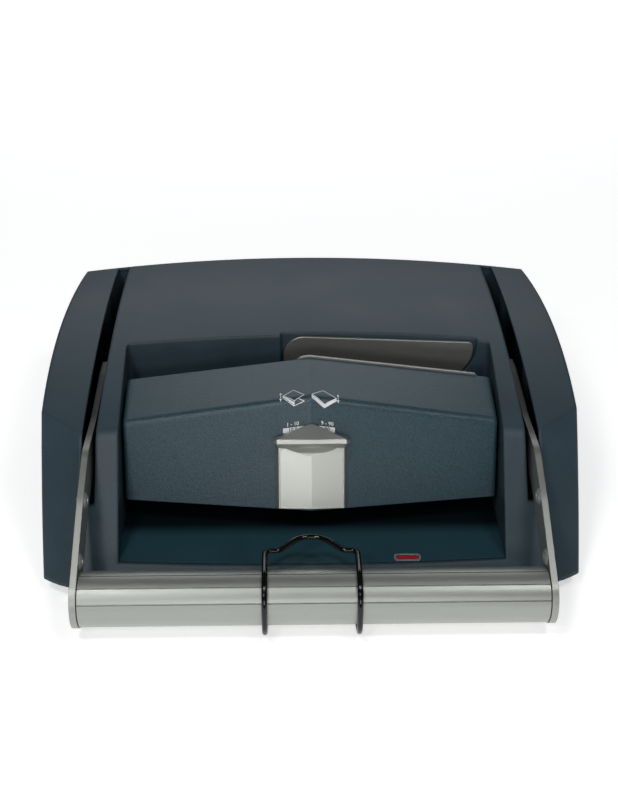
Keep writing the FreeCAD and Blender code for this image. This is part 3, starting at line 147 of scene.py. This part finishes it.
M = {
    "casing": material("casing_plastic", (46, 63, 72), rough=0.46, grain=0.40, grain_size=0.0008, vary=0.22, mottling=0.05, spec=0.42, pebble=0.25, edge=0.0035),
    "hood": material("hood_plastic", (43, 67, 77), rough=0.34, grain=0.8, grain_size=0.0009, vary=0.36, mottling=0.0018, spec=0.44, pebble=0.25, edge=0.0008),
    # painted shade: the tray darkens to a tenth of its colour towards the back, standing in for the shade under the
    # hood
    "tray": material("tray_plastic", (36, 66, 76), rough=0.42, grain=0.30, grain_size=0.0008, vary=0.14, mottling=0.04, spec=0.25, edge=0.0006,
                     painted_shade=(-0.097, -0.076, 0.10)),
    "slider": material("slider_plastic", (186, 188, 182), rough=0.36, metal=0.80, grain=0.10, grain_size=0.0009, vary=0.03, mottling=0.03, edge=0.0007),
    "handle": material("handle_aluminium", (162, 165, 160), rough=0.40, metal=0.80, grain=0.035, grain_size=0.0006, vary=0.05,
                       stretch=(0.03, 1, 1), mottling=0.02),
    # painted shade: the arms darken towards the back, standing in for the shade inside the casing's slots
    "arm": material("arm_silver", (158, 160, 155), rough=0.42, metal=0.85, grain=0.16, grain_size=0.0007, vary=0.05, mottling=0.03, edge=0.0006,
                    painted_shade=(-0.098, -0.060, 0.16)),
    "rivet": material("rivet_steel", (205, 207, 206), rough=0.30, metal=0.8, grain=0.02, grain_size=0.0006, vary=0.04),
    "plate": material("plate_metal", (150, 150, 145), rough=0.36, metal=0.75, grain=0.12, grain_size=0.0005, vary=0.06, stretch=(0.05, 1, 1), edge=0.0006),
    "wire": material("wire_black", (4, 4, 5), rough=0.10, grain=0.02, grain_size=0.0015, vary=0.10, spec=0.42),
    "lens": material("lens_red", (160, 10, 26), rough=0.14, grain=0.04, grain_size=0.001, vary=0.12, coat=0.5, mottling=0.004),
    "bezel": material("bezel_chrome", (188, 189, 192), rough=0.22, metal=0.75, grain=0.03, grain_size=0.0008, vary=0.03, edge=0.0004),
    "sheet": material("sheet_steel", (40, 41, 43), rough=0.55, metal=0.3, grain=0.25, grain_size=0.0009, vary=0.08),
    "steel": material("machined_steel", (150, 151, 154), rough=0.34, metal=0.9, grain=0.12, grain_size=0.0006, vary=0.06, stretch=(0.08, 1, 1)),
    "screw": material("zinc_screws", (160, 160, 158), rough=0.34, metal=0.9, grain=0.08, grain_size=0.0006, vary=0.06),
    "bronze": material("bronze_bush", (170, 128, 76), rough=0.38, metal=0.9, grain=0.10, grain_size=0.0006, vary=0.08),
    "rubber": material("black_rubber", (22, 22, 23), rough=0.82, grain=0.35, grain_size=0.0009, vary=0.12, spec=0.3),
    "print": material("white_print", (232, 234, 233), rough=0.55, grain=0.05, grain_size=0.0006, vary=0.03),
    "ink": material("dark_print", (24, 26, 28), rough=0.6, grain=0.05, grain_size=0.0006, vary=0.05),
}
LOOK = {
    "casing": ["top_casing"], "hood": ["hood_cover"], "tray": ["document_tray"], "slider": ["gauge_slider"],
    "handle": ["handle_bar", "handle_plugs"], "arm": ["arm_left", "arm_right"], "rivet": ["arm_rivets"],
    "plate": ["debinding_plate", "slot_edge_strip"], "wire": ["wire_bail"], "lens": ["indicator_lens"], "bezel": ["indicator_bezel"],
    "sheet": ["base_plate", "frame_left", "frame_right", "spine_rest", "hood_brackets", "stop_posts", "rack_guides", "slider_retainer"],
    "steel": ["fixed_jaw", "fixed_jaw_face", "press_jaw", "press_jaw_face", "rear_cross_bar", "guide_rods", "main_shaft", "shaft_collars",
              "pinion_left", "pinion_right", "rack_left", "rack_right"],
    "screw": ["base_screws", "frame_bolts", "fixed_face_screws", "press_face_screws", "guide_screws", "hood_screws", "hub_screws",
              "handle_bolts", "rack_screws", "slider_screw"],
    "bronze": ["shaft_bushes", "guide_bushes"], "rubber": ["rubber_feet", "stop_pads"],
}
for look, names in LOOK.items():
    for n in names:
        o = N[n]
        o.data.materials.clear()
        o.data.materials.append(M[look])

# ------------------------------------------------------------------ printed marks on the hood
SIDE = [(-72, 49), (-50, 109.5), (6, 119.8)]
MID = [(-91, 49), (-58, 137), (6, 139.6)]


def hood_point(x, v, bend=8.0):
    """x across, v along the hood's outline from the middle of its bend: up the top when positive, down the front when negative (mm)."""
    t = abs(x) / 156.0
    p0, p1, p2 = [Vector((MID[k][0] * (1 - t) + SIDE[k][0] * t, MID[k][1] * (1 - t) + SIDE[k][1] * t)) for k in range(3)]
    df, dt = (p0 - p1).normalized(), (p2 - p1).normalized()
    ang = math.acos(max(-1, min(1, -df.dot(dt))))
    tan_l, half = bend * math.tan(ang / 2), bend * ang / 2
    if v > half:
        q = p1 + dt * (v - half + tan_l)
    elif v < -half:
        q = p1 + df * (-v - half + tan_l)
    else:
        c = p1 + (df + dt).normalized() * (bend / math.cos(ang / 2))
        va, vb = p1 + df * tan_l - c, p1 + dt * tan_l - c
        w = (v + half) / bend * (1 if va.x * vb.y - va.y * vb.x > 0 else -1)
        q = c + Vector((va.x * math.cos(w) - va.y * math.sin(w), va.x * math.sin(w) + va.y * math.cos(w)))
    return Vector((x, q.x, q.y)) * 0.001


hood = N["hood_cover"]
to_local = hood.matrix_world.inverted()


def on_hood(x, v):
    ok, loc, nor, _ = hood.closest_point_on_mesh(to_local @ hood_point(x, v))
    return hood.matrix_world @ loc, (hood.matrix_world.to_3x3() @ nor).normalized()


def printed(name, faces, mat, lift=0.00002, thick=0.00005):
    """A thin closed film of ink: faces are lists of (x, v) corners laid on the hood."""
    bm = bmesh.new()
    seen, up = {}, {}

    def vert(x, v):
        key = (round(x, 3), round(v, 3))
        if key not in seen:
            p, n = on_hood(x, v)
            seen[key] = bm.verts.new(p + n * lift)
            up[seen[key]] = n
        return seen[key]

    for f in faces:
        vs = list(dict.fromkeys(vert(x, v) for x, v in f))
        if len(vs) > 2 and bm.faces.get(vs) is None:
            bm.faces.new(vs)
    low = list(bm.verts)
    top = [g for g in bmesh.ops.extrude_face_region(bm, geom=list(bm.faces), use_keep_orig=True)["geom"] if isinstance(g, bmesh.types.BMVert)]
    normals = {tuple(round(c, 7) for c in q.co): up[q] for q in low}
    for q in top:
        q.co += normals[tuple(round(c, 7) for c in q.co)] * thick
    bmesh.ops.recalc_face_normals(bm, faces=bm.faces)
    me = bpy.data.meshes.new(name)
    bm.to_mesh(me)
    bm.free()
    o = bpy.data.objects.new(name, me)
    bpy.context.scene.collection.objects.link(o)
    me.materials.append(mat)
    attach(o, "frame")
    return o


def stroke(pts, width):
    """Quads along a line, short enough to follow the bend."""
    out = []
    for (xa, va), (xb, vb) in zip(pts, pts[1:]):
        d = Vector((xb - xa, vb - va))
        if d.length < 1e-6:
            continue
        n = Vector((-d.y, d.x)).normalized() * width / 2
        e = d.normalized() * width * 0.3
        k = max(1, int(d.length / 0.8))
        for i in range(k):
            a = Vector((xa, va)) + d * (i / k) - (e if i == 0 else Vector((0, 0)))
            c = Vector((xa, va)) + d * ((i + 1) / k) + (e if i == k - 1 else Vector((0, 0)))
            out.append([tuple(a + n), tuple(a - n), tuple(c - n), tuple(c + n)])
    return out


def patch(x0, v0, x1, v1, step=1.5):
    nx, nv = max(1, int(abs(x1 - x0) / step)), max(1, int(abs(v1 - v0) / step))
    g = lambda i, j: (x0 + (x1 - x0) * i / nx, v0 + (v1 - v0) * j / nv)
    return [[g(i, j), g(i + 1, j), g(i + 1, j + 1), g(i, j + 1)] for i in range(nx) for j in range(nv)]


COVER = [[(-22.7, 6.5), (-14.1, 13.5), (-5.5, 4.3), (-13.6, -0.7), (-22.7, 6.5)], [(-22.7, 6.5), (-22.7, 3.2), (-13.9, -4.8), (-13.6, -0.7)],
         [(-13.9, -4.8), (-5.5, -2.1), (-9.7, 0.6)], [(-21.6, 4.6), (-13.7, -2.4)]]
BLOCK = [[(0.8, 4.1), (9.8, 11.4), (20.4, 2.3), (10.8, -4.2), (0.8, 4.1)], [(0.8, 4.1), (0.8, 0.4), (10.6, -7.0), (10.8, -4.2)],
         [(10.6, -7.0), (20.3, -0.3), (20.4, 2.3)]]
marks = []
for line in COVER + BLOCK:
    marks += stroke(line, 0.55)
marks += stroke([(-22.5, 4.6), (-13.9, -3.3)], 1.0) + stroke([(1.0, 2.0), (10.6, -5.6)], 1.5) + stroke([(10.8, -5.6), (20.2, 0.9)], 1.5)
for x, lo_v, hi_v in ((-24.6, 0.6, 11.2), (22.0, -1.4, 7.4)):
    marks += stroke([(x, lo_v), (x, hi_v)], 0.5)
    for tip, s in ((lo_v, 1), (hi_v, -1)):
        marks.append([(x, tip - s * 0.4), (x + 1.1, tip + s * 2.0), (x - 1.1, tip + s * 2.0)])
printed("print_pictograms", marks, M["print"])


def digits(name, text, x, v, size, mat, lift):
    """Plain numbers laid on the hood, centred on (x, v)."""
    cu = bpy.data.curves.new(name, "FONT")
    cu.body, cu.size, cu.align_x, cu.align_y, cu.resolution_u = text, size, "CENTER", "CENTER", 3
    cu.offset = size * 0.012
    tmp = bpy.data.objects.new(name + "_tmp", cu)
    bpy.context.scene.collection.objects.link(tmp)
    bpy.context.view_layer.update()
    me = tmp.evaluated_get(bpy.context.evaluated_depsgraph_get()).to_mesh()
    faces = [[(x + me.vertices[i].co.x, v + me.vertices[i].co.y) for i in p.vertices] for p in me.polygons]
    bpy.data.objects.remove(tmp)
    bpy.data.curves.remove(cu)
    return printed(name, faces, mat, lift)


# a small scale beside the slider's point: white numbers, one pair in a white field
fields = patch(-22.9, -22.2, -6.2, -26.2) + patch(6.2, -22.2, 19.2, -26.2)
printed("print_fields", fields, M["print"])
for k, (v, a, c, mat, lift) in enumerate([(-19.6, "1 - 10", "9 - 90", M["print"], 0.00002), (-24.2, "10.0", "90", M["ink"], 0.00008),
                                          (-29.0, "8.0", "70", M["print"], 0.00002), (-33.4, "6.0", "50", M["print"], 0.00002),
                                          (-37.8, "4.0", "30", M["print"], 0.00002), (-42.2, "2.0", "10", M["print"], 0.00002)]):
    digits("print_scale_left_%d" % k, a, -15.0, v, 4.3, mat, lift)
    digits("print_scale_right_%d" % k, c, 13.0, v, 4.3, mat, lift)

# ------------------------------------------------------------------ floor, light, camera
bpy.ops.mesh.primitive_plane_add(size=12, location=(0, 0, -0.0005))
floor = bpy.context.object
floor.name = "floor"
floor.data.materials.append(material("pale_floor", (250, 250, 250), rough=0.8, grain=0.05, grain_size=0.002, vary=0.01, spec=0.1, glow=0.54))

world = bpy.data.worlds.new("studio")
bpy.context.scene.world = world
world.use_nodes = True
world.node_tree.nodes["Background"].inputs[0].default_value = (0.94, 0.975, 1.0, 1)
sky = world.node_tree.nodes["Background"]
ray = world.node_tree.nodes.new("ShaderNodeLightPath")
level = world.node_tree.nodes.new("ShaderNodeMapRange")       # a pale backdrop that adds little light of its own
level.inputs["To Min"].default_value, level.inputs["To Max"].default_value = 0.08, 0.90
world.node_tree.links.new(ray.outputs["Is Camera Ray"], level.inputs[0])
world.node_tree.links.new(level.outputs[0], sky.inputs[1])
bpy.context.scene.view_settings.view_transform = "Standard"


def area(name, loc, target, size, power, size_y=None, color=(1, 1, 1)):
    d = bpy.data.lights.new(name, "AREA")
    d.energy = power
    d.color = color
    d.size = size
    if size_y:
        d.shape = "RECTANGLE"
        d.size_y = size_y
    o = bpy.data.objects.new(name, d)
    bpy.context.scene.collection.objects.link(o)
    o.location = loc
    o.rotation_euler = (Vector(target) - Vector(loc)).to_track_quat("-Z", "Y").to_euler()
    return o


area("front_soft", (-0.12, -1.9, 0.62), (0, -0.05, 0.08), 1.3, 7.0, 0.4)
area("front_left", (-0.50, -0.78, 1.48), (0, -0.10, 0.06), 0.4, 5.5, 0.2)
area("front_right", (0.55, -0.78, 1.48), (0, -0.10, 0.06), 0.4, 4.8, 0.2)
area("front_small", (-0.60, -1.45, 1.30), (0, -0.10, 0.08), 0.25, 3.5, 0.2)
area("back_soft", (0, 1.9, 1.1), (0, 0.05, 0.12), 1.8, 1.9, 0.9, (0.80, 0.92, 1.0))
area("ground_far", (0, 2.3, 1.7), (0, 2.3, 0), 3.0, 21, 1.4)

# the photo's camera
e, yaw, roll = math.radians(29.0), math.radians(1.3), math.radians(0.2)
fwd = Vector((math.sin(yaw) * math.cos(e), math.cos(yaw) * math.cos(e), -math.sin(e)))
right = Vector((math.cos(yaw), -math.sin(yaw), 0))
up = right.cross(fwd)
r2 = right * math.cos(roll) + up * math.sin(roll)
u2 = up * math.cos(roll) - right * math.sin(roll)
cam_d = bpy.data.cameras.new("camera")
cam = bpy.data.objects.new("camera", cam_d)
bpy.context.scene.collection.objects.link(cam)
rot = Matrix((r2, u2, -fwd)).transposed()
cam.matrix_world = Matrix.Translation((-0.0204, -0.881, 0.5905)) @ rot.to_4x4()
cam_d.sensor_width = 36.0
cam_d.lens = 1168.0 / 800.0 * 36.0
cam_d.clip_start, cam_d.clip_end = 0.05, 30
bpy.context.scene.camera = cam
